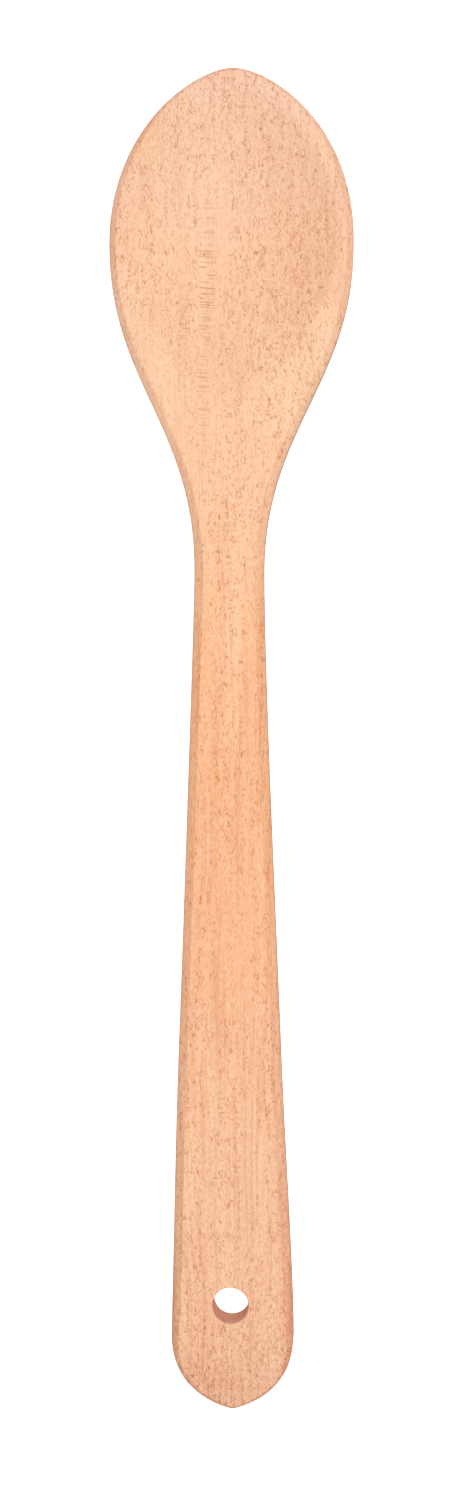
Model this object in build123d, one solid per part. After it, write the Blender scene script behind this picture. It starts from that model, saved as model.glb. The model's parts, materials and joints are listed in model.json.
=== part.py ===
from build123d import *

import math
import os

# Wooden cooking spoon, cut from one board of beech. Sizes are in millimetres.
# It lies as it rests on a table: the bowl opens to +Z, its tip points to +Y, and X runs across.
# The origin is under the middle of the spoon. A station is a distance from the bowl's tip.

# Outline, seen from above
LENGTH = 310.0
BOWL_WIDTH = 56.4
BOWL_WIDEST_STATION = 40.0
NECK_WIDTH = 16.0
NECK_STATION = 116.0
HANDLE_END_WIDTH = 28.3
HANDLE_WIDEST_FROM_TAIL = 17.0
# The tip and the tail end in a narrow sanded face this wide, and this far in along the rounding.
NOSE_FACE_WIDTH = 2.4
NOSE_FACE_SET = 0.06
# How far each curve of the outline runs on straight from its start and its end, as shares of the
# curve's own reach: across and then along at the tip, along and then across at the tail.
TIP_SHARES = (0.27, 0.70)
SHOULDER_SHARES = (0.43, 0.44)
FLANK_SHARES = (0.15, 0.095)
TAIL_SHARES = (0.81, 0.12)

# Side view: heights above the table, thicknesses, and where the neck and the belly lie
TIP_HEIGHT = 13.6
TIP_THICKNESS = 4.2
CROWN_HEIGHT = 17.0
CROWN_STATION = 112.0
CROWN_THICKNESS = 9.0
TAIL_HEIGHT = 8.8
TAIL_THICKNESS = 9.0
SOLE_STATION = 44.0
# The belly and the heel are sanded flat by this much where the spoon stands.
SOLE_FLAT_DEPTH = 0.35
# Shares of the same kind for the side view's curves. The toe's are along, down, and along.
RIM_SHARES = (0.45, 0.40)
BACK_SHARES = (0.30, 0.32)
TOE_SHARES = (0.15, 0.30, 0.50)
BELLY_SHARES = (0.36, 0.42)
UNDERSIDE_SHARES = (0.30, 0.32)

# Cross-sections: rounding of the handle's edges and of the bowl's rim
EDGE_ROUND = 2.2
RIM_ROUND = 1.4
# The bowl's side wall and rounding, and half its sole, as shares of its thickness and half width
RIM_WALL_SHARE = 0.32
SOLE_WIDTH_SHARE = 0.22
# How far the hull's curve holds to its side wall and to its sole, and a plain rounding to its sides
HULL_SIDE_SHARE = 0.42
HULL_SOLE_SHARE = 0.55
ROUND_SHARE = 0.55
# Each top rounding starts with a faint arris, and falls this share of its drop over its first half.
ARRIS_SHARE = 0.14
# The cross-section changes from the bowl's hull to the handle's bar between these stations.
HULL_END_STATION = 66.0
HANDLE_START_STATION = 132.0

# Hollow of the bowl, inside a rim of even width
HOLLOW_DEPTH = 6.0
RIM_LAND = 3.6
HOLLOW_TIP_STATION = 4.4
HOLLOW_END_STATION = 76.0
HOLLOW_TIP_SHARES = (0.25, 0.71)
HOLLOW_END_SHARES = (0.43, 0.33)
# A second, flatter cut breaks the lip of the hollow: how far it reaches out, and its own depth.
LIP_BREAK = 0.7
LIP_CUT_DEPTH = 3.4
# Both cuts are raised by a hair, so that their ends run out above the wood and leave no sliver.
CUT_CLEARANCE = 0.05

# Hanging hole, square to the top of the handle
HOLE_DIAMETER = 8.4
HOLE_FROM_TAIL = 24.5
HOLE_BREAK = 0.3

# How far a cutter runs past the wood
OVERRUN = 10.0
# Cross-sections along each of the outline's curves, and halvings in the search for a station
STEPS = (14, 12, 14, 12)
HALVINGS = 40


def smooth(share):
    """Ease from 0 to 1 with level ends."""
    share = min(max(share, 0.0), 1.0)
    return share * share * (3 - 2 * share)


def at(curve, t):
    """Point of a curve at its own parameter t."""
    return curve.position_at(t, position_mode=PositionMode.PARAMETER)


def value_at(line, station):
    """Second coordinate of a line of curves, where its first coordinate is the station."""
    curve = next((c for c in line if at(c, 1).X > station), line[-1])
    low, high = 0.0, 1.0
    for _ in range(HALVINGS):
        middle = (low + high) / 2
        if at(curve, middle).X < station:
            low = middle
        else:
            high = middle
    return at(curve, low).Y


def level_curve(start, end, shares):
    """Curve in (station, value) that leaves its start and reaches its end level."""
    run = end[0] - start[0]
    return Bezier(start, (start[0] + run * shares[0], start[1]), (end[0] - run * shares[1], end[1]), end)


def outline():
    """Half outline as four curves in (station, half width), from tip to tail."""
    bowl, neck, end = BOWL_WIDTH / 2, NECK_WIDTH / 2, HANDLE_END_WIDTH / 2
    face = NOSE_FACE_WIDTH / 2
    widest = LENGTH - HANDLE_WIDEST_FROM_TAIL
    tip = Bezier(
        (0, face),
        (0, bowl * TIP_SHARES[0]),
        (BOWL_WIDEST_STATION * (1 - TIP_SHARES[1]), bowl),
        (BOWL_WIDEST_STATION, bowl),
    )
    shoulder = level_curve((BOWL_WIDEST_STATION, bowl), (NECK_STATION, neck), SHOULDER_SHARES)
    flank = level_curve((NECK_STATION, neck), (widest, end), FLANK_SHARES)
    tail = Bezier(
        (widest, end),
        (widest + HANDLE_WIDEST_FROM_TAIL * TAIL_SHARES[0], end),
        (LENGTH, end * TAIL_SHARES[1]),
        (LENGTH, face),
    )
    return [tip, shoulder, flank, tail]


def top_line():
    """Top of the spoon in the side view: the rim rises to the neck and the handle falls away."""
    fall = LENGTH - CROWN_STATION
    rim = level_curve((0, TIP_HEIGHT), (CROWN_STATION, CROWN_HEIGHT), RIM_SHARES)
    back = Bezier(
        (CROWN_STATION, CROWN_HEIGHT),
        (CROWN_STATION + fall * BACK_SHARES[0], CROWN_HEIGHT),
        (LENGTH - fall * BACK_SHARES[1], TAIL_HEIGHT + (CROWN_HEIGHT - TAIL_HEIGHT) * BACK_SHARES[1]),
        (LENGTH, TAIL_HEIGHT),
    )
    return [rim, back]


def bottom_line():
    """Underside in the side view: toe, belly on the table, hollow under the neck, heel on the table."""
    toe_height = TIP_HEIGHT - TIP_THICKNESS
    neck_height = CROWN_HEIGHT - CROWN_THICKNESS
    heel_height = TAIL_HEIGHT - TAIL_THICKNESS
    fall = LENGTH - CROWN_STATION
    toe = Bezier(
        (0, toe_height),
        (SOLE_STATION * TOE_SHARES[0], toe_height * (1 - TOE_SHARES[1])),
        (SOLE_STATION * (1 - TOE_SHARES[2]), -SOLE_FLAT_DEPTH),
        (SOLE_STATION, -SOLE_FLAT_DEPTH),
    )
    belly = level_curve((SOLE_STATION, -SOLE_FLAT_DEPTH), (CROWN_STATION, neck_height), BELLY_SHARES)
    underside = Bezier(
        (CROWN_STATION, neck_height),
        (CROWN_STATION + fall * UNDERSIDE_SHARES[0], neck_height),
        (
            LENGTH - fall * UNDERSIDE_SHARES[1],
            heel_height + (neck_height - heel_height) * UNDERSIDE_SHARES[1],
        ),
        (LENGTH, heel_height),
    )
    return [toe, belly, underside]


def bowl_share(station):
    """1 where the cross-section is the bowl's hull, 0 where it is the handle's bar."""
    return 1 - smooth((station - HULL_END_STATION) / (HANDLE_START_STATION - HULL_END_STATION))


def nose(station):
    """Share of the full thickness left near the rounded tip and tail."""
    inside = min(station, LENGTH - station) + NOSE_FACE_SET
    return math.sqrt(1 - (1 - min(inside / EDGE_ROUND, 1)) ** 2)


def section(station, half, top, bottom):
    """Closed cross-section at a station: flat top, rounded edges, side walls, hull or bar below."""
    bowl = bowl_share(station)
    middle = (top + bottom) / 2
    top = middle + (top - middle) * nose(station)
    bottom = middle + (bottom - middle) * nose(station)
    height = top - bottom
    rounding = RIM_ROUND * bowl + EDGE_ROUND * (1 - bowl)
    drop = min(rounding * nose(station), height * RIM_WALL_SHARE)
    inset = min(rounding, half / 2)
    hull_drop = height * (1 - RIM_WALL_SHARE) - drop
    lift = hull_drop * bowl + drop * (1 - bowl)
    sole = half * SOLE_WIDTH_SHARE * bowl + (half - inset) * (1 - bowl)
    side_share = HULL_SIDE_SHARE * bowl + ROUND_SHARE * (1 - bowl)
    sole_share = HULL_SOLE_SHARE * bowl + ROUND_SHARE * (1 - bowl)
    y = LENGTH / 2 - station

    def corner(side):
        """Top rounding at one side, from the flat top to the side wall."""
        return Bezier(
            (side * (half - inset), y, top),
            (side * (half - inset / 2), y, top - drop * ARRIS_SHARE),
            (side * half, y, top - drop * (1 - ROUND_SHARE)),
            (side * half, y, top - drop),
        )

    def hull(side):
        """Lower curve at one side, from the side wall to the sole."""
        return Bezier(
            (side * half, y, bottom + lift),
            (side * half, y, bottom + lift * (1 - side_share)),
            (side * (sole + (half - sole) * (1 - sole_share)), y, bottom),
            (side * sole, y, bottom),
        )

    def wall(side):
        """Side wall between the two curves."""
        return Line((side * half, y, top - drop), (side * half, y, bottom + lift))

    return Wire(
        [
            Line((half - inset, y, top), (inset - half, y, top)),
            corner(-1),
            wall(-1),
            hull(-1),
            Line((-sole, y, bottom), (sole, y, bottom)),
            hull(1),
            wall(1),
            corner(1),
        ]
    )


def blank():
    """The whole spoon before its hollow, hole and flats: one skin through all its cross-sections."""
    tops, bottoms = top_line(), bottom_line()
    curves = outline()
    places = [at(curves[0], 0)]
    for curve, steps in zip(curves, STEPS):
        places += [at(curve, k / steps) for k in range(1, steps + 1)]
    return Solid.make_loft(
        [section(p.X, p.Y, value_at(tops, p.X), value_at(bottoms, p.X)) for p in places]
    )


def bowl_cutter(growth, depth):
    """A body turned about an axis along Y above the rim. It cuts the hollow, or breaks its lip."""
    half = BOWL_WIDTH / 2 - RIM_LAND + growth
    tip, end = HOLLOW_TIP_STATION - growth, HOLLOW_END_STATION + growth
    upper, lower = BOWL_WIDEST_STATION - tip, end - BOWL_WIDEST_STATION
    tops = top_line()
    axis_height = value_at(tops, BOWL_WIDEST_STATION) + (half**2 - depth**2) / (2 * depth)
    lip = [
        Bezier(
            (tip, 0),
            (tip, half * HOLLOW_TIP_SHARES[0]),
            (BOWL_WIDEST_STATION - upper * HOLLOW_TIP_SHARES[1], half),
            (BOWL_WIDEST_STATION, half),
        ),
        Bezier(
            (BOWL_WIDEST_STATION, half),
            (BOWL_WIDEST_STATION + lower * HOLLOW_END_SHARES[0], half),
            (end, half * HOLLOW_END_SHARES[1]),
            (end, 0),
        ),
    ]
    steps = STEPS[0]
    places = [at(lip[0], k / steps) for k in range(steps)] + [at(lip[1], k / steps) for k in range(steps + 1)]
    floor = []
    for place in places:
        reach = math.hypot(place.Y, axis_height - value_at(tops, place.X))
        floor.append((0, LENGTH / 2 - place.X, axis_height - reach))
    start, finish = (0, floor[0][1], axis_height), (0, floor[-1][1], axis_height)
    profile = Wire([Spline(*floor), Line(floor[-1], finish), Line(finish, start), Line(start, floor[0])])
    return Pos(0, 0, CUT_CLEARANCE) * revolve(Face(profile), Axis(start, (0, 1, 0)))


def hole():
    """The hanging hole's cutter, square to the top of the handle, with its edges broken."""
    station = LENGTH - HOLE_FROM_TAIL
    tops, bottoms = top_line(), bottom_line()
    top, bottom = value_at(tops, station), value_at(bottoms, station)
    rise = value_at(tops, station - HOLE_DIAMETER) - value_at(tops, station + HOLE_DIAMETER)
    lean = math.degrees(math.atan2(rise, 2 * HOLE_DIAMETER))
    thickness = top - bottom
    middle = Location((0, LENGTH / 2 - station, (top + bottom) / 2), (lean, 0, 0))
    bore = Cylinder(HOLE_DIAMETER / 2, thickness + 2 * OVERRUN)
    flare = HOLE_BREAK + OVERRUN
    widened = HOLE_DIAMETER / 2 + flare
    cone = Cone(HOLE_DIAMETER / 2, widened, flare, align=(Align.CENTER, Align.CENTER, Align.MIN))
    mouth = Pos(0, 0, thickness / 2 - HOLE_BREAK) * cone
    return middle * (bore + mouth + mirror(mouth, Plane.XY))


def table():
    """Everything below the table top, which flattens the belly and the heel."""
    return Box(
        BOWL_WIDTH + OVERRUN,
        LENGTH + OVERRUN,
        OVERRUN,
        align=(Align.CENTER, Align.CENTER, Align.MAX),
    )


def spoon():
    """The finished spoon."""
    hollow = bowl_cutter(0, HOLLOW_DEPTH)
    lip = bowl_cutter(LIP_BREAK, LIP_CUT_DEPTH)
    return blank() - hollow - lip - hole() - table()


os.makedirs("parts", exist_ok=True)
export_step(spoon(), "parts/spoon.step")
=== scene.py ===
"""Beech cooking spoon: its modelled skin, its sanded wood, and the small studio it is seen in."""

from __future__ import annotations

import json
import logging
import math
from dataclasses import dataclass, field
from enum import Enum

import bmesh
import bpy
import numpy as np
from mathutils import Matrix, Vector


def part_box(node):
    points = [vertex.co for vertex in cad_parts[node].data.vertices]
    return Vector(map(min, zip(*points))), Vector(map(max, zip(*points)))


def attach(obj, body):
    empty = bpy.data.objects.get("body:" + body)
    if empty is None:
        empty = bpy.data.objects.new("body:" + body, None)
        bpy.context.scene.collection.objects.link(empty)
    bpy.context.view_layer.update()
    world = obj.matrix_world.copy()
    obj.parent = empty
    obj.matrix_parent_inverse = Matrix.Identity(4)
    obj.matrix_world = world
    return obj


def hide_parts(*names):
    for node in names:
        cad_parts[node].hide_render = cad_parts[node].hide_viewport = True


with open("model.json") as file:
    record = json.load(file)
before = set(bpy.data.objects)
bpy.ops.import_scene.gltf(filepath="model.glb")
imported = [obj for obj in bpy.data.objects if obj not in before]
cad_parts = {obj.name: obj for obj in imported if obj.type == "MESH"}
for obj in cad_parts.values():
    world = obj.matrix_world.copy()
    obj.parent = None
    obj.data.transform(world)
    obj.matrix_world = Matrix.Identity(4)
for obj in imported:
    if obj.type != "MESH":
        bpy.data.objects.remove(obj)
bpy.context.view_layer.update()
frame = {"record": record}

MM = 0.001
LOG = logging.getLogger("spoon")


def linear_colour(hex_code: str) -> tuple[float, float, float, float]:
    """Turn an sRGB hex colour into linear light.

    Args:
        hex_code: The colour as "#RRGGBB".

    Returns:
        Red, green, blue and an alpha of 1, in linear light.
    """
    shares = [int(hex_code[k:k + 2], 16) / 255 for k in (1, 3, 5)]
    return (*(c / 12.92 if c <= 0.04045 else ((c + 0.055) / 1.055) ** 2.4 for c in shares), 1.0)


def add_node(tree: bpy.types.NodeTree, kind: str, inputs: dict | None = None, **settings) -> bpy.types.Node:
    """Add a node, set it up and link it.

    Args:
        tree: The node tree that takes the node.
        kind: Blender's name for the node's type.
        inputs: For each input, by name or number, the socket to link to it or the value it holds.
        **settings: The node's own properties.

    Returns:
        The new node.
    """
    node = tree.nodes.new(kind)
    for name, value in settings.items():
        setattr(node, name, value)
    for name, value in (inputs or {}).items():
        if isinstance(value, bpy.types.NodeSocket):
            tree.links.new(value, node.inputs[name])
        else:
            node.inputs[name].default_value = value
    return node


def smooth(share: np.ndarray) -> np.ndarray:
    """Ease from 0 to 1 with level ends."""
    share = np.clip(share, 0, 1)
    return share * share * (3 - 2 * share)


def soft_min(a: np.ndarray, b: np.ndarray, blend: float) -> np.ndarray:
    """Take the lower of two heights, with the crease between them rounded.

    Args:
        a: First height.
        b: Second height.
        blend: Height over which one runs into the other.

    Returns:
        The blended lower height.
    """
    share = np.clip(0.5 + 0.5 * (b - a) / blend, 0, 1)
    return b + (a - b) * share - blend * share * (1 - share)


def bezier(points: tuple, t: np.ndarray) -> np.ndarray:
    """Points of a cubic Bezier curve.

    Args:
        points: Its four control points.
        t: Parameters from 0 to 1.

    Returns:
        One row for each parameter.
    """
    p = np.asarray(points, float)
    t = np.asarray(t, float)[:, None]
    return (1 - t) ** 3 * p[0] + 3 * (1 - t) ** 2 * t * p[1] + 3 * (1 - t) * t**2 * p[2] + t**3 * p[3]


def level_curve(start: tuple, end: tuple, shares: tuple) -> tuple:
    """Control points of a curve that leaves its start and reaches its end level.

    Args:
        start: Station and value at the start.
        end: Station and value at the end.
        shares: How far it runs on straight from its start and its end.

    Returns:
        Four control points.
    """
    run = end[0] - start[0]
    return start, (start[0] + run * shares[0], start[1]), (end[0] - run * shares[1], end[1]), end


@dataclass(frozen=True)
class SmoothLine:
    """A line of Bezier curves in (station, value), both in millimetres."""

    curves: tuple
    fine: int = 600

    def points(self, steps: tuple) -> np.ndarray:
        """Points along the line.

        Args:
            steps: Steps along each of its curves.

        Returns:
            One row of station and value for each point, with no point twice.
        """
        runs = [bezier(c, np.linspace(0, 1, n + 1))[1:] for c, n in zip(self.curves, steps)]
        return np.vstack([bezier(self.curves[0], np.zeros(1)), *runs])

    def at(self, stations: np.ndarray) -> np.ndarray:
        """Values at the given stations."""
        known = self.points((self.fine,) * len(self.curves))
        return np.interp(stations, known[:, 0], known[:, 1])


@dataclass
class SpoonShape:
    """The spoon's form in millimetres. A station is a distance from the bowl's tip.

    The length, width and height come from the frame's box, the rest are the spoon's own sizes. Shares
    of a line say how far its curves run on straight from their ends.
    """

    length: float
    bowl_width: float
    crown_height: float
    bowl_widest: float = 40.0
    neck_width: float = 16.0
    neck: float = 116.0
    end_width: float = 28.3
    end_from_tail: float = 17.0
    tip_shares: tuple = (0.27, 0.70)
    shoulder_shares: tuple = (0.43, 0.44)
    flank_shares: tuple = (0.15, 0.095)
    tail_shares: tuple = (0.84, 0.03)
    tip_height: float = 13.6
    tip_thickness: float = 4.2
    crown: float = 112.0
    crown_thickness: float = 9.0
    tail_height: float = 8.8
    tail_thickness: float = 9.0
    sole: float = 44.0
    sole_flat: float = 0.35
    rim_shares: tuple = (0.45, 0.40)
    back_shares: tuple = (0.30, 0.32)
    toe_shares: tuple = (0.15, 0.30, 0.50)
    belly_shares: tuple = (0.36, 0.42)
    underside_shares: tuple = (0.30, 0.32)
    edge_round: float = 2.2
    # Station, and size of the sanded edge there.
    edge_sizes: tuple = (
        (0.0, 0.7),
        (26.0, 1.6),
        (80.0, 1.6),
        (118.0, 2.1),
        (285.0, 2.1),
        (306.0, 0.8),
        (310.0, 0.8),
    )
    rim_wall_share: float = 0.32
    sole_width_share: float = 0.22
    hull_side_share: float = 0.42
    hull_sole_share: float = 0.55
    round_share: float = 0.55
    arris: tuple = ((0.0, 0.0), (0.40, 0.36), (0.84, 0.66), (1.0, 1.0))
    arris_width: float = 0.12
    hull_end: float = 66.0
    handle_start: float = 132.0
    hollow_depth: float = 6.0
    rim_land: float = 3.5
    hollow_tip: float = 4.3
    hollow_end: float = 76.5
    hollow_tip_shares: tuple = (0.25, 0.71)
    hollow_end_shares: tuple = (0.43, 0.33)
    lip_blend: float = 0.35
    # Station, and how far the middle line stands to the right there.
    bends: tuple = ((0.0, 0.2), (40.0, 0.0), (145.0, -0.36), (225.0, -0.2), (292.0, 0.4), (310.0, 0.4))
    bend_shares: tuple = (0.4, 0.4)
    edge_shares: tuple = (0.4, 0.4)

    def outline(self) -> SmoothLine:
        """Half width along the spoon, from tip to tail.

        Returns:
            The line of stations and half widths.
        """
        bowl, neck, end = self.bowl_width / 2, self.neck_width / 2, self.end_width / 2
        widest = self.length - self.end_from_tail
        tip = (
            (0, 0),
            (0, bowl * self.tip_shares[0]),
            (self.bowl_widest * (1 - self.tip_shares[1]), bowl),
            (self.bowl_widest, bowl),
        )
        tail = (
            (widest, end),
            (widest + self.end_from_tail * self.tail_shares[0], end),
            (self.length, end * self.tail_shares[1]),
            (self.length, 0),
        )
        shoulder = level_curve((self.bowl_widest, bowl), (self.neck, neck), self.shoulder_shares)
        flank = level_curve((self.neck, neck), (widest, end), self.flank_shares)
        return SmoothLine((tip, shoulder, flank, tail))

    def middle_line(self) -> SmoothLine:
        """How far the wood has warped to either side of a straight middle line."""
        pairs = zip(self.bends, self.bends[1:])
        return SmoothLine(tuple(level_curve(start, end, self.bend_shares) for start, end in pairs))

    def edge_line(self) -> SmoothLine:
        """Size of the top's sanded edge along the spoon."""
        pairs = zip(self.edge_sizes, self.edge_sizes[1:])
        return SmoothLine(tuple(level_curve(start, end, self.edge_shares) for start, end in pairs))

    def falling(self, start: float, end: float, shares: tuple) -> tuple:
        """Control points of a side line that leaves the neck level and falls straight to the tail.

        Args:
            start: Height at the neck.
            end: Height at the tail.
            shares: How far it runs on level, and how far it comes in straight.

        Returns:
            Four control points.
        """
        run = self.length - self.crown
        return (
            (self.crown, start),
            (self.crown + run * shares[0], start),
            (self.length - run * shares[1], end + (start - end) * shares[1]),
            (self.length, end),
        )

    def top_line(self) -> SmoothLine:
        """Height of the top along the spoon."""
        rim = level_curve((0, self.tip_height), (self.crown, self.crown_height), self.rim_shares)
        return SmoothLine((rim, self.falling(self.crown_height, self.tail_height, self.back_shares)))

    def bottom_line(self) -> SmoothLine:
        """Height of the underside along the spoon, before its flats.

        Returns:
            The line of stations and heights.
        """
        toe_height = self.tip_height - self.tip_thickness
        under_neck = self.crown_height - self.crown_thickness
        toe = (
            (0, toe_height),
            (self.sole * self.toe_shares[0], toe_height * (1 - self.toe_shares[1])),
            (self.sole * (1 - self.toe_shares[2]), -self.sole_flat),
            (self.sole, -self.sole_flat),
        )
        belly = level_curve((self.sole, -self.sole_flat), (self.crown, under_neck), self.belly_shares)
        heel = self.tail_height - self.tail_thickness
        return SmoothLine((toe, belly, self.falling(under_neck, heel, self.underside_shares)))

    def bowl_share(self, stations: np.ndarray) -> np.ndarray:
        """1 where the cross-section is the bowl's hull, 0 where it is the handle's bar."""
        return 1 - smooth((stations - self.hull_end) / (self.handle_start - self.hull_end))

    def hollow_floor(self, across: np.ndarray, stations: np.ndarray, tops: np.ndarray) -> np.ndarray:
        """Height of the cutter's path, which lies below the rim inside the hollow and above it outside.

        Args:
            across: Distances from the middle plane.
            stations: Station of each row, as a column.
            tops: Height of the top at each row, as a column.

        Returns:
            Heights, one for each row and distance.
        """
        half = self.bowl_width / 2 - self.rim_land
        depth = self.hollow_depth
        upper, lower = self.bowl_widest - self.hollow_tip, self.hollow_end - self.bowl_widest
        tip_share, end_share = self.hollow_tip_shares, self.hollow_end_shares
        lip = SmoothLine(
            (
                (
                    (self.hollow_tip, 0),
                    (self.hollow_tip, half * tip_share[0]),
                    (self.bowl_widest - upper * tip_share[1], half),
                    (self.bowl_widest, half),
                ),
                (
                    (self.bowl_widest, half),
                    (self.bowl_widest + lower * end_share[0], half),
                    (self.hollow_end, half * end_share[1]),
                    (self.hollow_end, 0),
                ),
            )
        )
        # Past the hollow's ends its squared half width goes on falling as steeply as it does there.
        tip_fall = 3 * (half * tip_share[0]) ** 2 / (upper * (1 - tip_share[1]))
        end_fall = 3 * (half * end_share[1]) ** 2 / (lower * (1 - end_share[0]))
        beyond = np.maximum(self.hollow_tip - stations, 0) * tip_fall
        beyond += np.maximum(stations - self.hollow_end, 0) * end_fall
        squared = lip.at(stations) ** 2 - beyond
        rim = self.top_line().at(np.array([self.bowl_widest]))[0]
        axis = rim + (half**2 - depth**2) / (2 * depth)
        return axis - np.sqrt(np.maximum((axis - tops) ** 2 + squared - across**2, 0))


@dataclass
class SpoonSkin:
    """The spoon's modelled surface: rings of points round it, row by row from the tip to the tail."""

    shape: SpoonShape
    rows: tuple = (120, 110, 240, 90)
    hollow_columns: int = 40
    land_columns: int = 14
    corner_columns: int = 10
    wall_columns: int = 3
    hull_columns: int = 18
    sole_columns: int = 10
    lip_share_of_half: float = 0.35
    inset_limit: float = 0.6
    land_limit: float = 0.1
    arris_limit: float = 0.05
    lip_fade: float = 0.6
    corner_spread: float = 1.2
    profile_steps: int = 400
    weld: float = 0.0005
    profile: np.ndarray = field(init=False)

    def __post_init__(self) -> None:
        """Work out the rounding's profile, as share across and share down."""
        self.profile = bezier(self.shape.arris, np.linspace(0, 1, self.profile_steps))

    def rounding(self, inside: np.ndarray, radius: np.ndarray) -> np.ndarray:
        """How far the rounded edge has dropped.

        Args:
            inside: Distance inside the outline.
            radius: Size of the rounding.

        Returns:
            The drop below the flat, from 0 to the radius.
        """
        share = 1 - np.clip(inside / radius, 0, 1)
        return np.interp(share, self.profile[:, 0], self.profile[:, 1]) * radius

    def inside_outline(self, across: np.ndarray, line: np.ndarray) -> np.ndarray:
        """Distance of each point from the outline, seen from above.

        Args:
            across: Half widths, one row for each row of the skin.
            line: Station and half width of each row.

        Returns:
            Distances of the same shape as the half widths.
        """
        reach = 2 * self.shape.edge_round
        starts, ends = line[:-1], line[1:]
        runs = ends - starts
        lengths = (runs**2).sum(axis=1)
        result = np.full(across.shape, np.inf)
        for k, (station, _) in enumerate(line):
            near = (ends[:, 0] >= station - reach) & (starts[:, 0] <= station + reach)
            places = np.stack([np.full(across.shape[1], station), across[k]], axis=1)
            offset = places[:, None, :] - starts[near][None]
            t = np.clip((offset * runs[near]).sum(axis=2) / lengths[near], 0, 1)
            gap = offset - t[:, :, None] * runs[near]
            result[k] = np.sqrt((gap**2).sum(axis=2)).min(axis=1)
        return result

    def half_rings(self) -> np.ndarray:
        """Points of the right half of every ring, from the top's middle round to the sole's.

        Returns:
            An array of rows, points and (across, station, height), in millimetres.
        """
        s = self.shape
        line = s.outline().points(self.rows)
        station, half = line[:, :1], line[:, 1:]
        top, bottom = s.top_line().at(station), s.bottom_line().at(station)
        bowl = s.bowl_share(station)
        radius = s.edge_line().at(station)
        inset = np.minimum(radius, self.inset_limit * half)

        lip_half = s.bowl_width / 2 - s.rim_land
        reach = np.clip((station - s.hollow_tip) / (s.bowl_widest - s.hollow_tip), 0, 1)
        fade = np.clip((s.hollow_end - station) / (s.hollow_end - s.bowl_widest), 0, 1)
        spread = np.where(station < s.bowl_widest, np.sqrt(1 - (1 - reach) ** 2), fade**self.lip_fade)
        lip = np.maximum(lip_half * spread, self.lip_share_of_half * half)
        lip = np.minimum(lip, half - inset - self.land_limit * half)
        inner = np.linspace(0, 1, self.hollow_columns + 1)[None] * lip
        land = np.linspace(0, 1, self.land_columns + 1)[None, 1:]
        arris = half - inset - np.minimum(s.arris_width, self.arris_limit * half)
        outer = np.hstack([lip + (arris - lip) * land, half - inset])
        t = np.linspace(0, 1, self.corner_columns + 1)[1:]
        steps = bezier(s.arris, t)[:, 0] ** self.corner_spread
        across = np.concatenate([[s.arris_width / s.edge_round], steps])
        corner = half - inset + inset * np.sort(across)[None]
        top_across = np.hstack([inner, outer, corner])
        inside = self.inside_outline(top_across, line)
        flat = top - self.rounding(inside, radius)
        top_height = soft_min(flat, s.hollow_floor(top_across, station, top), s.lip_blend)

        height = top - bottom
        wall_top = top - radius
        lift = (height * (1 - s.rim_wall_share) - radius) * bowl + radius * (1 - bowl)
        wall_foot = bottom + lift
        v = np.linspace(0, 1, self.wall_columns + 2)[None, 1:-1]
        wall_height = wall_top + (wall_foot - wall_top) * v
        wall_across = np.repeat(half, self.wall_columns, axis=1)

        side_share = s.hull_side_share * bowl + s.round_share * (1 - bowl)
        sole_share = s.hull_sole_share * bowl + s.round_share * (1 - bowl)
        sole = half * s.sole_width_share * bowl + (half - inset) * (1 - bowl)
        t = np.linspace(0, 1, self.hull_columns + 1)[None]
        keep = (1 - t) ** 3 + 3 * (1 - t) ** 2 * t
        pull = 3 * (1 - t) * t**2
        hull_across = sole + (half - sole) * (keep + pull * (1 - sole_share))
        fall = (1 - t) ** 3 + 3 * (1 - t) ** 2 * t * (1 - side_share)
        hull_height = bottom + lift * fall
        u = np.linspace(1, 0, self.sole_columns + 1)[None, 1:]
        under_across = np.hstack([hull_across, sole * u])
        under_height = np.hstack([hull_height, np.repeat(bottom, self.sole_columns, axis=1)])
        rounded = bottom + self.rounding(self.inside_outline(under_across, line), radius)
        under_height = np.where(station >= s.handle_start, rounded, under_height)
        toe = np.sqrt(1 - (1 - np.minimum(station / s.edge_round, 1)) ** 2)
        under_height = wall_foot + (under_height - wall_foot) * np.where(station < s.sole, toe, 1)

        across = np.hstack([top_across, wall_across, under_across])
        heights = np.hstack([top_height, wall_height, np.maximum(under_height, 0)])
        stations = np.repeat(station, across.shape[1], axis=1)
        return np.stack([across, stations, heights], axis=2)

    def mesh(self) -> bpy.types.Mesh:
        """The closed surface in metres, before the hole is drilled.

        Returns:
            The mesh, in the frame that the spoon is packed in.
        """
        half = self.half_rings()
        mirrored = half[:, -2:0:-1] * np.array([-1, 1, 1])
        rings = np.concatenate([half, mirrored], axis=1)
        rings[:, :, 0] += self.shape.middle_line().at(rings[:, :, 1])
        rows, columns, _ = rings.shape
        places = np.stack(
            [rings[:, :, 0], self.shape.length / 2 - rings[:, :, 1], rings[:, :, 2]], axis=2
        ).reshape(-1, 3)
        row, column = np.meshgrid(np.arange(rows - 1), np.arange(columns), indexing="ij")
        here, beside = row * columns + column, row * columns + (column + 1) % columns
        faces = np.stack([here, beside, beside + columns, here + columns], axis=2).reshape(-1, 4)
        mesh = bpy.data.meshes.new("spoon_skin")
        mesh.from_pydata((places * MM).tolist(), [], faces[:, ::-1].tolist())
        shell = bmesh.new()
        shell.from_mesh(mesh)
        bmesh.ops.remove_doubles(shell, verts=shell.verts, dist=self.weld * MM)
        bmesh.ops.dissolve_degenerate(shell, edges=shell.edges, dist=self.weld * MM)
        bmesh.ops.recalc_face_normals(shell, faces=shell.faces)
        shell.to_mesh(mesh)
        shell.free()
        return mesh


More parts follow.
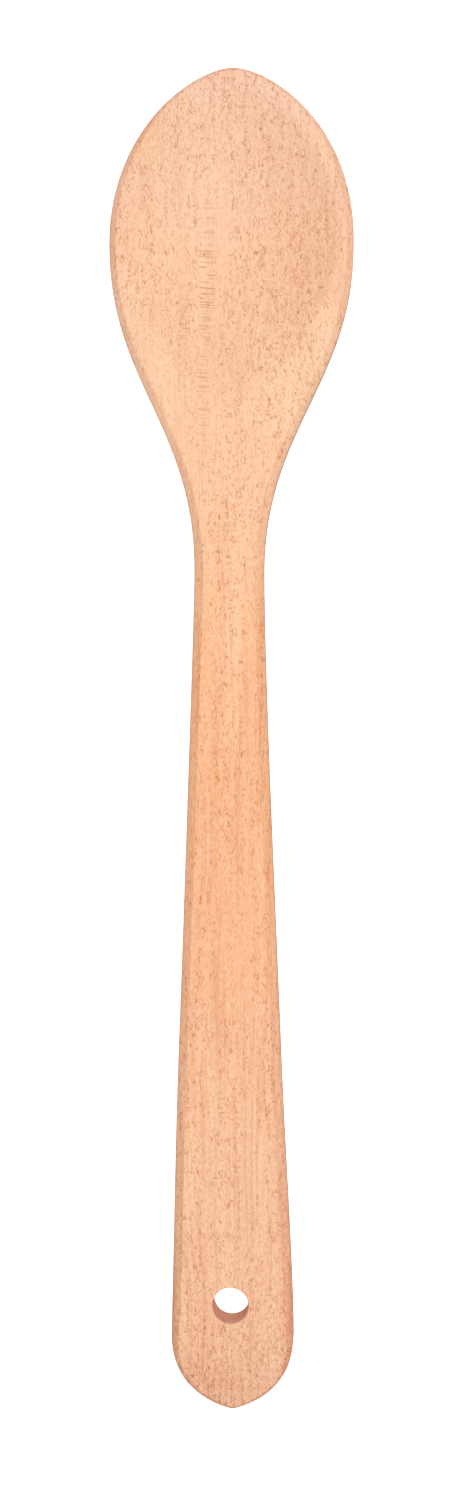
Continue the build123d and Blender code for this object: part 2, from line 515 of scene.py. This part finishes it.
@dataclass
class HangingHole:
    """The drilled hole near the handle's end, with its edges rounded by sandpaper."""

    centre: Vector
    axis: Vector
    radius: float
    wall: float
    edge: float = 0.2 * MM
    mouth: float = 0.3 * MM
    flare: float = 0.2 * MM
    overrun: float = 4 * MM
    sides: int = 72
    arc_steps: int = 6
    arc_end: float = math.radians(78)

    @classmethod
    def from_mount(cls, mount: dict) -> HangingHole:
        """Read the hole from the record's mount."""
        dims = mount["dims"]
        return cls(Vector(mount["pos_m"]), Vector(mount["axis"]), dims["r_mm"] * MM, dims["length_mm"] * MM)

    def profile(self) -> list[tuple[float, float]]:
        """Radius and height of the drill's outline, from its lower end to its upper end.

        Returns:
            One pair for each point, in metres.
        """
        upper = [(self.radius, 0.0)]
        for k in range(self.arc_steps + 1):
            angle = self.arc_end * k / self.arc_steps
            out = self.edge * (1 - math.cos(angle))
            rise = self.wall / 2 + self.mouth - self.edge + self.edge * math.sin(angle)
            upper.append((self.radius + out, rise))
        upper.append((upper[-1][0] + self.flare, self.wall / 2 + self.overrun))
        return [(r, -h) for r, h in reversed(upper[1:])] + upper

    def cutter(self) -> bpy.types.Object:
        """The body that is taken out of the handle.

        Returns:
            The object, in its place.
        """
        outline = self.profile()
        places, faces = [], []
        for r, h in outline:
            for k in range(self.sides):
                turn = 2 * math.pi * k / self.sides
                places.append((r * math.cos(turn), r * math.sin(turn), h))
        for level in range(len(outline) - 1):
            for k in range(self.sides):
                a, b = level * self.sides + k, level * self.sides + (k + 1) % self.sides
                faces.append((a, b, b + self.sides, a + self.sides))
        last = (len(outline) - 1) * self.sides
        faces += [tuple(reversed(range(self.sides))), tuple(range(last, last + self.sides))]
        mesh = bpy.data.meshes.new("hole_cutter")
        mesh.from_pydata(places, [], faces)
        turn = self.axis.to_track_quat("Z", "Y").to_matrix().to_4x4()
        mesh.transform(Matrix.Translation(self.centre) @ turn)
        cutter = bpy.data.objects.new("hole_cutter", mesh)
        bpy.context.scene.collection.objects.link(cutter)
        return cutter

    def drill(self, piece: bpy.types.Object) -> None:
        """Cut the hole through a piece.

        Args:
            piece: The object whose mesh is drilled.
        """
        cutter = self.cutter()
        cut = piece.modifiers.new("hole", "BOOLEAN")
        cut.operation, cut.solver, cut.object = "DIFFERENCE", "EXACT", cutter
        seen = piece.evaluated_get(bpy.context.evaluated_depsgraph_get())
        drilled = bpy.data.meshes.new_from_object(seen)
        piece.modifiers.clear()
        plain, piece.data = piece.data, drilled
        bpy.data.meshes.remove(plain)
        spare = cutter.data
        bpy.data.objects.remove(cutter)
        bpy.data.meshes.remove(spare)


class Figure(Enum):
    """The form that a layer of the wood's figure takes."""

    CLOUDS = "FBM"
    LINES = "RIDGED_MULTIFRACTAL"


@dataclass(frozen=True)
class GrainLayer:
    """One layer of the wood's figure: clouds or fine lines drawn out along the grain.

    The size is that of one cloud in millimetres, across the spoon, along it and through its depth. The
    shift picks the pattern. The noise starts to show at the low value and is full at the high one.
    """

    size: tuple
    shift: float
    low: float
    high: float
    strength: float
    detail: float = 1.0
    turn: float = 0.0
    figure: Figure = Figure.CLOUDS

    def amount(self, tree: bpy.types.NodeTree, place: bpy.types.NodeSocket) -> bpy.types.NodeSocket:
        """Add the layer's nodes.

        Args:
            tree: The material's node tree.
            place: The place on the spoon, in millimetres.

        Returns:
            How much of the layer shows, from 0 to its strength.
        """
        turned = add_node(
            tree,
            "ShaderNodeVectorRotate",
            {"Vector": place, "Angle": self.turn},
            rotation_type="Z_AXIS",
        ).outputs[0]
        scale = tuple(1 / size for size in self.size)
        shift = (self.shift, self.shift, self.shift)
        local = add_node(tree, "ShaderNodeMapping", {"Vector": turned, "Scale": scale, "Location": shift})
        form = {"Vector": local.outputs[0], "Scale": 1.0, "Detail": self.detail, "Roughness": 0.5}
        if self.figure is Figure.LINES:
            form["Offset"] = 1.0
        noise = add_node(
            tree,
            "ShaderNodeTexNoise",
            form,
            noise_type=self.figure.value,
            normalize=self.figure is Figure.CLOUDS,
        ).outputs[0]
        return add_node(
            tree,
            "ShaderNodeMapRange",
            {"Value": noise, 1: self.low, 2: self.high, 3: 0.0, 4: self.strength},
            interpolation_type="SMOOTHSTEP",
        ).outputs[0]


@dataclass(frozen=True)
class RayFlecks:
    """Ends of the wood's rays: short dark dashes along the grain, one in each cell at most.

    The cell is in millimetres, and the reach is half a dash as a share of its cell.
    """

    cell: tuple = (0.75, 1.9, 0.8)
    shift: float = 3.7
    reach: float = 0.34
    core: float = 0.14
    share: float = 0.6
    strength: float = 1.0

    def amount(self, tree: bpy.types.NodeTree, place: bpy.types.NodeSocket) -> bpy.types.NodeSocket:
        """Add the dashes' nodes.

        Args:
            tree: The material's node tree.
            place: The place on the spoon, in millimetres.

        Returns:
            How dark the dash is, from 0 to the strength.
        """
        scale = tuple(1 / size for size in self.cell)
        shift = (self.shift, self.shift, self.shift)
        local = add_node(tree, "ShaderNodeMapping", {"Vector": place, "Scale": scale, "Location": shift})
        cells = add_node(tree, "ShaderNodeTexVoronoi", {"Vector": local.outputs[0], "Scale": 1.0})
        dash = add_node(
            tree,
            "ShaderNodeMapRange",
            {"Value": cells.outputs["Distance"], 1: self.reach, 2: self.core, 3: 0.0, 4: 1.0},
        ).outputs[0]
        luck = add_node(tree, "ShaderNodeSeparateXYZ", {0: cells.outputs["Color"]}).outputs[0]
        depth = add_node(
            tree,
            "ShaderNodeMapRange",
            {"Value": luck, 1: 1 - self.share, 2: 1.0, 3: 0.0, 4: self.strength},
        ).outputs[0]
        return add_node(tree, "ShaderNodeMath", {0: dash, 1: depth}, operation="MULTIPLY").outputs[0]


@dataclass(frozen=True)
class Window:
    """A soft-edged stretch of the spoon, seen from above, in millimetres.

    Its edge fades from the soft width inside the half size to the soft width outside it.
    """

    centre: tuple
    half: tuple
    soft: tuple

    def share(self, tree: bpy.types.NodeTree, place: bpy.types.NodeSocket) -> bpy.types.NodeSocket:
        """Add the window's nodes.

        Args:
            tree: The material's node tree.
            place: The place on the spoon, in millimetres.

        Returns:
            1 inside the window, 0 outside it.
        """
        axes = add_node(tree, "ShaderNodeSeparateXYZ", {0: place}).outputs
        shares = []
        for axis in (0, 1):
            offset = add_node(
                tree, "ShaderNodeMath", {0: axes[axis], 1: self.centre[axis]}, operation="SUBTRACT"
            ).outputs[0]
            away = add_node(tree, "ShaderNodeMath", {0: offset}, operation="ABSOLUTE").outputs[0]
            inner, outer = self.half[axis] - self.soft[axis], self.half[axis] + self.soft[axis]
            shares.append(
                add_node(
                    tree,
                    "ShaderNodeMapRange",
                    {"Value": away, 1: inner, 2: outer, 3: 1.0, 4: 0.0},
                    interpolation_type="SMOOTHSTEP",
                ).outputs[0]
            )
        both = {0: shares[0], 1: shares[1]}
        return add_node(tree, "ShaderNodeMath", both, operation="MULTIPLY").outputs[0]


def strongest(
    tree: bpy.types.NodeTree, place: bpy.types.NodeSocket, windows: tuple
) -> bpy.types.NodeSocket:
    """Join several windows.

    Args:
        tree: The material's node tree.
        place: The place on the spoon, in millimetres.
        windows: Each window with its strength.

    Returns:
        The strength of the strongest window at that place.
    """
    where = None
    for window, strength in windows:
        sides = {0: window.share(tree, place), 1: strength}
        share = add_node(tree, "ShaderNodeMath", sides, operation="MULTIPLY").outputs[0]
        if where is not None:
            share = add_node(tree, "ShaderNodeMath", {0: where, 1: share}, operation="MAXIMUM").outputs[0]
        where = share
    return where


@dataclass(frozen=True)
class WoodMarks:
    """Short dark marks: one layer of the figure, broken up by the gaps of another.

    Without windows they are all over the spoon.
    """

    lines: GrainLayer
    gaps: GrainLayer
    windows: tuple = ()

    def amount(self, tree: bpy.types.NodeTree, place: bpy.types.NodeSocket) -> bpy.types.NodeSocket:
        """Add the marks' nodes.

        Args:
            tree: The material's node tree.
            place: The place on the spoon, in millimetres.

        Returns:
            How dark the mark is, from 0 to 1.
        """
        factors = [self.lines.amount(tree, place), self.gaps.amount(tree, place)]
        if self.windows:
            factors.append(strongest(tree, place, self.windows))
        dark = factors[0]
        for factor in factors[1:]:
            dark = add_node(tree, "ShaderNodeMath", {0: dark, 1: factor}, operation="MULTIPLY").outputs[0]
        return dark


@dataclass(frozen=True)
class SandedBeech:
    """Steamed beech, cut to shape and sanded, with no varnish or oil.

    Steaming turns the pale wood an even salmon, which fades to a paler pink at the bowl's tip and to
    orange along the handle. Sawing lays the growth rings open as soft lengthwise streaks, and the
    wood's rays end at the surface as short brown dashes. The cutter leaves a ladder of faint rungs in
    the hollow and the sandpaper slanted scratches. The broken fibres scatter light evenly, so the eye
    gets a matt surface with a slight sheen at most.
    """

    length: float
    # From the tip to the tail, as a share of the length.
    grounds: tuple = (
        (0.00, "#F4CAAC"),
        (0.14, "#F7C7A4"),
        (0.30, "#F9C8A1"),
        (0.36, "#F9C59A"),
        (0.42, "#F9BD8D"),
        (0.52, "#F9BB8A"),
        (0.62, "#F9BB8C"),
        (0.70, "#F9BF93"),
        (0.75, "#F9C49B"),
        (0.84, "#F9C6A1"),
        (0.93, "#F8C3A0"),
        (1.00, "#EDB997"),
    )
    fleck_tint: str = "#DCAF95"
    curl_tint: str = "#CF9C79"
    growth_tint: str = "#F4E7DF"
    pink_tint: str = "#FDE8E6"
    gold_tint: str = "#FFF6E4"
    tail_edge_tint: str = "#F1E1D5"
    light: str = "#FFDDB6"
    # Painted light: the rounded edges lean away from the key light, so a warm brightness is added to them
    # to lift their shade.
    painted_edge_light: str = "#462834"
    edge_lean: tuple = (0.92, 0.60)
    # Wood fibre has an IOR near 1.53. Sanding leaves it rough and its open pores halve the sheen.
    ior: float = 1.53
    roughness: float = 0.55
    specular: float = 0.35
    # Growth rings of a slow-grown beech lie 2 to 4 mm apart and run on for the length of a hand.
    warp: GrainLayer = GrainLayer((16, 45, 16), 1.3, 0.25, 0.75, 1.6)
    growth: GrainLayer = GrainLayer((2.4, 75, 7), 5.1, 0.44, 0.74, 0.24, detail=2.0)
    pale: GrainLayer = GrainLayer((3.4, 60, 8), 11.4, 0.50, 0.75, 0.30)
    blush: GrainLayer = GrainLayer((11, 26, 14), 4.2, 0.48, 0.72, 0.14, detail=2.0)
    crowd: GrainLayer = GrainLayer((3.2, 34, 6), 6.6, 0.35, 0.65, 1.0)
    # Some rings take the sandpaper better than others, so the short curls stand in columns.
    columns: GrainLayer = GrainLayer((2.3, 55, 5), 27.3, 0.22, 0.52, 1.0, detail=0.0)
    # Pores are about 0.07 mm wide, too fine to show, so they are drawn 0.4 to 0.6 mm wide.
    streak: GrainLayer = GrainLayer((0.6, 12, 0.9), 9.2, 0.42, 0.75, 0.30)
    fibre: GrainLayer = GrainLayer((0.36, 0.85, 0.5), 2.9, 0.40, 0.66, 0.24)
    bright: GrainLayer = GrainLayer((0.42, 1.3, 0.6), 7.7, 0.50, 0.72, 0.44)
    # Rays end as dashes 1 to 2 mm long and 0.15 mm wide, drawn 0.3 to 0.5 mm wide to show.
    flecks: RayFlecks = RayFlecks()
    curls: WoodMarks = WoodMarks(
        GrainLayer((0.55, 1.25, 0.8), 12.6, 0.70, 0.92, 0.64, detail=0.0, figure=Figure.LINES),
        GrainLayer((0.9, 2.4, 1.0), 14.3, 0.46, 0.60, 1.0),
    )
    slants: WoodMarks = WoodMarks(
        GrainLayer((0.5, 2.2, 0.8), 21.6, 0.66, 0.90, 0.55, detail=0.0, turn=-0.42, figure=Figure.LINES),
        GrainLayer((0.9, 2.4, 1.0), 24.3, 0.50, 0.62, 1.0),
        (
            (Window((14.0, 96.0), (12.0, 30.0), (7.0, 12.0)), 0.7),
            (Window((0.0, -149.0), (16.0, 12.0), (4.0, 8.0)), 1.0),
        ),
    )
    stipple: WoodMarks = WoodMarks(
        GrainLayer((0.5, 0.8, 0.7), 17.9, 0.66, 0.90, 0.50, detail=0.0, figure=Figure.LINES),
        GrainLayer((0.8, 1.3, 1.0), 19.4, 0.46, 0.60, 1.0),
        (
            (Window((0.0, -142.0), (20.0, 22.0), (4.0, 20.0)), 1.0),
            (Window((-4.0, 140.0), (17.0, 17.0), (7.0, 10.0)), 0.6),
        ),
    )
    # The handle shows the wood's long vessels edge on, drawn 0.5 mm wide to show.
    stripes: WoodMarks = WoodMarks(
        GrainLayer((0.5, 60, 2.0), 41.3, 0.42, 0.60, 0.62, detail=0.0),
        GrainLayer((1.5, 26, 4.0), 43.3, 0.36, 0.60, 1.0, detail=0.0),
        (
            (Window((0.0, -50.0), (30.0, 110.0), (4.0, 14.0)), 1.0),
            (Window((0.0, 100.0), (30.0, 70.0), (4.0, 14.0)), 0.35),
        ),
    )
    # Sandpaper of a medium grit scratches 0.1 mm wide, drawn 0.5 mm wide to show.
    scratches: WoodMarks = WoodMarks(
        GrainLayer((0.6, 7.0, 0.9), 31.6, 0.80, 0.97, 0.6, detail=0.0, turn=0.75, figure=Figure.LINES),
        GrainLayer((1.4, 2.6, 1.2), 34.3, 0.52, 0.66, 1.0),
        ((Window((-18.0, 97.0), (8.0, 12.0), (4.0, 6.0)), 1.0),),
    )
    # The cutter's blade trembles as it leaves the hollow, a rung about every millimetre.
    ladder: WoodMarks = WoodMarks(
        GrainLayer((40, 0.95, 30), 8.5, 0.55, 0.90, 0.74, detail=0.0, turn=0.05, figure=Figure.LINES),
        GrainLayer((3.0, 1.6, 30), 3.1, 0.34, 0.58, 1.0),
        (
            (Window((-4.9, 105.0), (1.8, 6.0), (0.4, 3.0)), 1.0),
            (Window((-5.3, 97.0), (1.5, 27.0), (0.6, 7.0)), 0.55),
            (Window((-10.2, 88.0), (1.2, 11.0), (0.8, 4.0)), 0.28),
        ),
    )
    # Where the hollow's curls are sparser, then where the wood is pinker, where light is painted into the
    # hollow, and where the wood is more golden.
    clear: tuple = (
        (Window((-4.5, 97.0), (2.6, 30.0), (0.6, 9.0)), 0.75),
        (Window((-17.0, 84.0), (8.0, 14.0), (5.0, 8.0)), 0.5),
    )
    pinks: tuple = (
        (Window((17.5, 110.0), (6.5, 18.0), (5.0, 14.0)), 0.15),
        (Window((-18.0, 147.0), (5.0, 6.0), (4.0, 5.0)), 0.7),
        (Window((-0.8, 154.0), (3.5, 3.0), (2.5, 3.0)), 0.5),
        (Window((-25.5, 118.0), (1.8, 12.0), (1.4, 8.0)), 0.4),
    )
    # Painted light: lighter patches on the hollow's left wall and its lower right, where more light falls
    # on them.
    painted_hollow_light: tuple = (
        (Window((-19.0, 98.0), (9.0, 24.0), (6.0, 14.0)), 0.20),
        (Window((15.0, 84.0), (10.0, 14.0), (6.0, 9.0)), 0.24),
    )
    golds: tuple = (
        (Window((-20.5, 140.0), (4.0, 6.0), (3.5, 5.0)), 0.8),
        (Window((26.0, 112.0), (2.4, 22.0), (1.8, 12.0)), 0.1),
    )
    # The handle's rounded edges are darkened a little towards its end.
    darker_tail_edges: tuple = (
        (Window((-14.0, -155.0), (8.0, 60.0), (1.5, 58.0)), 0.7),
        (Window((14.0, -155.0), (8.0, 56.0), (1.5, 54.0)), 1.0),
    )

    def place(self, tree: bpy.types.NodeTree) -> bpy.types.NodeSocket:
        """The place on the spoon in millimetres, with the grain's gentle waves taken in.

        Args:
            tree: The material's node tree.

        Returns:
            The socket of the place.
        """
        metres = add_node(tree, "ShaderNodeTexCoord").outputs["Object"]
        place = add_node(
            tree, "ShaderNodeVectorMath", {0: metres, "Scale": 1 / MM}, operation="SCALE"
        ).outputs[0]
        sway = add_node(tree, "ShaderNodeCombineXYZ", {0: self.warp.amount(tree, place)}).outputs[0]
        return add_node(tree, "ShaderNodeVectorMath", {0: place, 1: sway}, operation="ADD").outputs[0]

    def edge_tilt_share(self, tree: bpy.types.NodeTree) -> bpy.types.NodeSocket:
        """How far the surface leans over, from 0 on the level to 1 on a rounded edge.

        Args:
            tree: The material's node tree.

        Returns:
            The socket of how far it leans, which places the painted light on the rounded edges and their
            darkening near the tail.
        """
        lean = add_node(tree, "ShaderNodeNewGeometry").outputs["Normal"]
        up = add_node(tree, "ShaderNodeSeparateXYZ", {0: lean}).outputs[2]
        return add_node(
            tree,
            "ShaderNodeMapRange",
            {"Value": up, 1: self.edge_lean[0], 2: self.edge_lean[1], 3: 0.0, 4: 1.0},
            interpolation_type="SMOOTHSTEP",
        ).outputs[0]

    def ground(self, tree: bpy.types.NodeTree, place: bpy.types.NodeSocket) -> bpy.types.NodeSocket:
        """The board's own colour, which changes slowly from the tip to the tail.

        Args:
            tree: The material's node tree.
            place: The place on the spoon, in millimetres.

        Returns:
            The socket of the colour.
        """
        along = add_node(tree, "ShaderNodeSeparateXYZ", {0: place}).outputs[1]
        station = add_node(
            tree, "ShaderNodeMapRange", {"Value": along, 1: self.length / 2, 2: -self.length / 2}
        ).outputs[0]
        ramp = add_node(tree, "ShaderNodeValToRGB", {0: station})
        stops = ramp.color_ramp.elements
        stops.remove(stops[1])
        for k, (share, colour) in enumerate(self.grounds):
            stop = stops[0] if k == 0 else stops.new(share)
            stop.position, stop.color = share, linear_colour(colour)
        return ramp.outputs[0]

    def marks(self, tree: bpy.types.NodeTree, place: bpy.types.NodeSocket) -> tuple:
        """Every tint that darkens the ground, with how much of it shows.

        Args:
            tree: The material's node tree.
            place: The place on the spoon, in millimetres.

        Returns:
            Pairs of a tint and the socket of its amount.
        """
        hidden = {0: 1.0, 1: strongest(tree, place, self.clear)}
        busy = add_node(tree, "ShaderNodeMath", hidden, operation="SUBTRACT").outputs[0]
        crowded = {0: self.columns.amount(tree, place), 1: busy}
        busy = add_node(tree, "ShaderNodeMath", crowded, operation="MULTIPLY").outputs[0]
        curls = {0: self.curls.amount(tree, place), 1: busy}
        dashes = {0: self.flecks.amount(tree, place), 1: self.crowd.amount(tree, place)}
        darker_tail_edges = {0: self.edge_tilt_share(tree), 1: strongest(tree, place, self.darker_tail_edges)}
        return (
            (self.pink_tint, self.blush.amount(tree, place)),
            (self.pink_tint, strongest(tree, place, self.pinks)),
            (self.gold_tint, strongest(tree, place, self.golds)),
            (self.tail_edge_tint, add_node(tree, "ShaderNodeMath", darker_tail_edges, operation="MULTIPLY").outputs[0]),
            (self.growth_tint, self.growth.amount(tree, place)),
            (self.growth_tint, self.streak.amount(tree, place)),
            (self.growth_tint, self.stripes.amount(tree, place)),
            (self.fleck_tint, self.fibre.amount(tree, place)),
            (self.fleck_tint, add_node(tree, "ShaderNodeMath", dashes, operation="MULTIPLY").outputs[0]),
            (self.curl_tint, add_node(tree, "ShaderNodeMath", curls, operation="MULTIPLY").outputs[0]),
            (self.curl_tint, self.slants.amount(tree, place)),
            (self.curl_tint, self.stipple.amount(tree, place)),
            (self.curl_tint, self.scratches.amount(tree, place)),
            (self.curl_tint, self.ladder.amount(tree, place)),
        )

    def colour(self, tree: bpy.types.NodeTree) -> bpy.types.NodeSocket:
        """The wood's whole colour: the ground with painted light on its rounded edges, its brighter places
        with painted light in the hollow, then its darker marks.

        Args:
            tree: The material's node tree.

        Returns:
            The socket of the colour.
        """
        place = self.place(tree)
        colour = self.ground(tree, place)
        # Painted light: a warm brightness is added to the rounded edges to lift their shade.
        edges = ((self.painted_edge_light, self.edge_tilt_share(tree)),)
        lifts = (
            (self.light, self.pale.amount(tree, place)),
            (self.light, self.bright.amount(tree, place)),
            # Painted light on the hollow's left wall and lower right.
            (self.light, strongest(tree, place, self.painted_hollow_light)),
        )
        for blend, layers in (("ADD", edges), ("MIX", lifts), ("MULTIPLY", self.marks(tree, place))):
            for tint, amount in layers:
                sides = {0: amount, 6: colour, 7: linear_colour(tint)}
                mix = add_node(tree, "ShaderNodeMix", sides, data_type="RGBA", blend_type=blend)
                colour = mix.outputs[2]
        return colour

    def material(self) -> bpy.types.Material:
        """Build the material.

        Returns:
            The material.
        """
        made = bpy.data.materials.new("sanded_beech")
        made.use_nodes = True
        tree = made.node_tree
        surface = tree.nodes["Principled BSDF"]
        tree.links.new(self.colour(tree), surface.inputs["Base Color"])
        surface.inputs["IOR"].default_value = self.ior
        surface.inputs["Roughness"].default_value = self.roughness
        surface.inputs["Specular IOR Level"].default_value = self.specular
        return made


@dataclass(frozen=True)
class WhitePaper:
    """The studio's white background paper, lit to plain white.

    It is matt coated paper, so the eye gets an even white with no sheen and hardly any shadow.
    """

    colour: str = "#F8F8F6"
    glow_colour: str = "#FFFFFF"
    glow: float = 0.9
    ior: float = 1.5
    roughness: float = 0.5

    def material(self) -> bpy.types.Material:
        """Build the material.

        Returns:
            The material.
        """
        made = bpy.data.materials.new("white_paper")
        made.use_nodes = True
        surface = made.node_tree.nodes["Principled BSDF"]
        surface.inputs["Base Color"].default_value = linear_colour(self.colour)
        surface.inputs["IOR"].default_value = self.ior
        surface.inputs["Roughness"].default_value = self.roughness
        surface.inputs["Emission Color"].default_value = linear_colour(self.glow_colour)
        surface.inputs["Emission Strength"].default_value = self.glow
        return made


@dataclass
class Spoon:
    """The spoon itself: one piece of beech."""

    shape: SpoonShape
    hole: HangingHole
    finish: SandedBeech
    crease: float = math.radians(50)

    def build(self) -> bpy.types.Object:
        """Model the spoon, drill it, dress it and set it on its body.

        Returns:
            The spoon's object.
        """
        piece = bpy.data.objects.new("beech_spoon", SpoonSkin(self.shape).mesh())
        bpy.context.scene.collection.objects.link(piece)
        self.hole.drill(piece)
        piece.data.shade_smooth()
        piece.data.set_sharp_from_angle(angle=self.crease)
        piece.data.materials.clear()
        piece.data.materials.append(self.finish.material())
        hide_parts("spoon")
        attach(piece, "root")
        LOG.info("%s: %d faces", piece.name, len(piece.data.polygons))
        return piece


@dataclass
class Softbox:
    """A square studio light of even white, aimed at the spoon. Its place and side are in metres."""

    name: str
    place: tuple
    side: float
    watts: float

    def build(self, target: Vector) -> bpy.types.Object:
        """Set the light up.

        Args:
            target: The point it is aimed at.

        Returns:
            The light's object.
        """
        light = bpy.data.lights.new(self.name, "AREA")
        light.shape, light.size, light.energy = "SQUARE", self.side, self.watts
        lamp = bpy.data.objects.new(self.name, light)
        lamp.location = self.place
        lamp.rotation_euler = (target - lamp.location).to_track_quat("-Z", "Y").to_euler()
        bpy.context.scene.collection.objects.link(lamp)
        return lamp


@dataclass
class Studio:
    """White floor, soft light and the camera above the spoon."""

    camera_place: tuple = (0.026, -0.00203, 0.560)
    camera_target: tuple = (-0.00016, -0.00203, 0.0)
    camera_roll: float = math.radians(0.084)
    lens: float = 57.12
    sky: float = 0.488
    ground_sky: float = 0.50
    sky_colour: str = "#FFFFFF"
    # Sine of the angle from the horizon over which one sky runs into the other.
    horizon: float = 0.4
    floor_side: float = 6.0
    paper: WhitePaper = WhitePaper()
    lights: tuple = (Softbox("key_light", (0.20, 0.15, 1.3), 0.5, 10.4),)

    def add_floor(self) -> None:
        """Lay the white floor, which shows as plain white and throws no light back."""
        mesh = bpy.data.meshes.new("floor")
        half = self.floor_side / 2
        corners = [(-half, -half, 0), (half, -half, 0), (half, half, 0), (-half, half, 0)]
        mesh.from_pydata(corners, [], [(0, 1, 2, 3)])
        floor = bpy.data.objects.new("floor", mesh)
        mesh.materials.append(self.paper.material())
        floor.visible_diffuse = False
        floor.visible_glossy = False
        floor.visible_shadow = False
        bpy.context.scene.collection.objects.link(floor)

    def add_sky(self) -> None:
        """Light the scene evenly from above and less from below."""
        world = bpy.data.worlds.new("studio")
        world.use_nodes = True
        tree = world.node_tree
        tree.nodes.clear()
        direction = add_node(tree, "ShaderNodeTexCoord").outputs["Generated"]
        height = add_node(tree, "ShaderNodeSeparateXYZ", {0: direction}).outputs["Z"]
        strength = add_node(
            tree,
            "ShaderNodeMapRange",
            {0: height, 1: -self.horizon, 2: self.horizon, 3: self.ground_sky, 4: self.sky},
        ).outputs[0]
        white = {"Color": linear_colour(self.sky_colour), "Strength": strength}
        light = add_node(tree, "ShaderNodeBackground", white)
        add_node(tree, "ShaderNodeOutputWorld", {"Surface": light.outputs[0]})
        bpy.context.scene.world = world

    def add_camera(self) -> None:
        """Set the camera straight above the spoon, a little to its right."""
        lens = bpy.data.cameras.new("camera")
        lens.lens = self.lens
        camera = bpy.data.objects.new("camera", lens)
        camera.location = self.camera_place
        aim = Vector(self.camera_target) - camera.location
        # The image's up is +Y: the camera turns about Y only.
        side = math.atan2(aim.x, -aim.z)
        camera.rotation_euler = (0, -side, self.camera_roll)
        bpy.context.scene.collection.objects.link(camera)
        bpy.context.scene.camera = camera

    def build(self) -> None:
        """Set the whole studio up."""
        self.add_floor()
        self.add_sky()
        self.add_camera()
        for light in self.lights:
            light.build(Vector(self.camera_target))
        bpy.context.scene.view_settings.view_transform = "Standard"


def main() -> None:
    """Build the spoon and the studio, and report each piece."""
    logging.basicConfig(level=logging.INFO, format="%(name)s %(message)s")
    low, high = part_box("spoon")
    size = (Vector(high) - Vector(low)) / MM
    mounts = {mount["name"]: mount for mount in frame["record"]["mounts"]}
    shape = SpoonShape(length=size.y, bowl_width=size.x, crown_height=size.z)
    Spoon(shape, HangingHole.from_mount(mounts["hang_hole"]), SandedBeech(shape.length)).build()
    Studio().build()


if __name__ == "__main__":
    main()
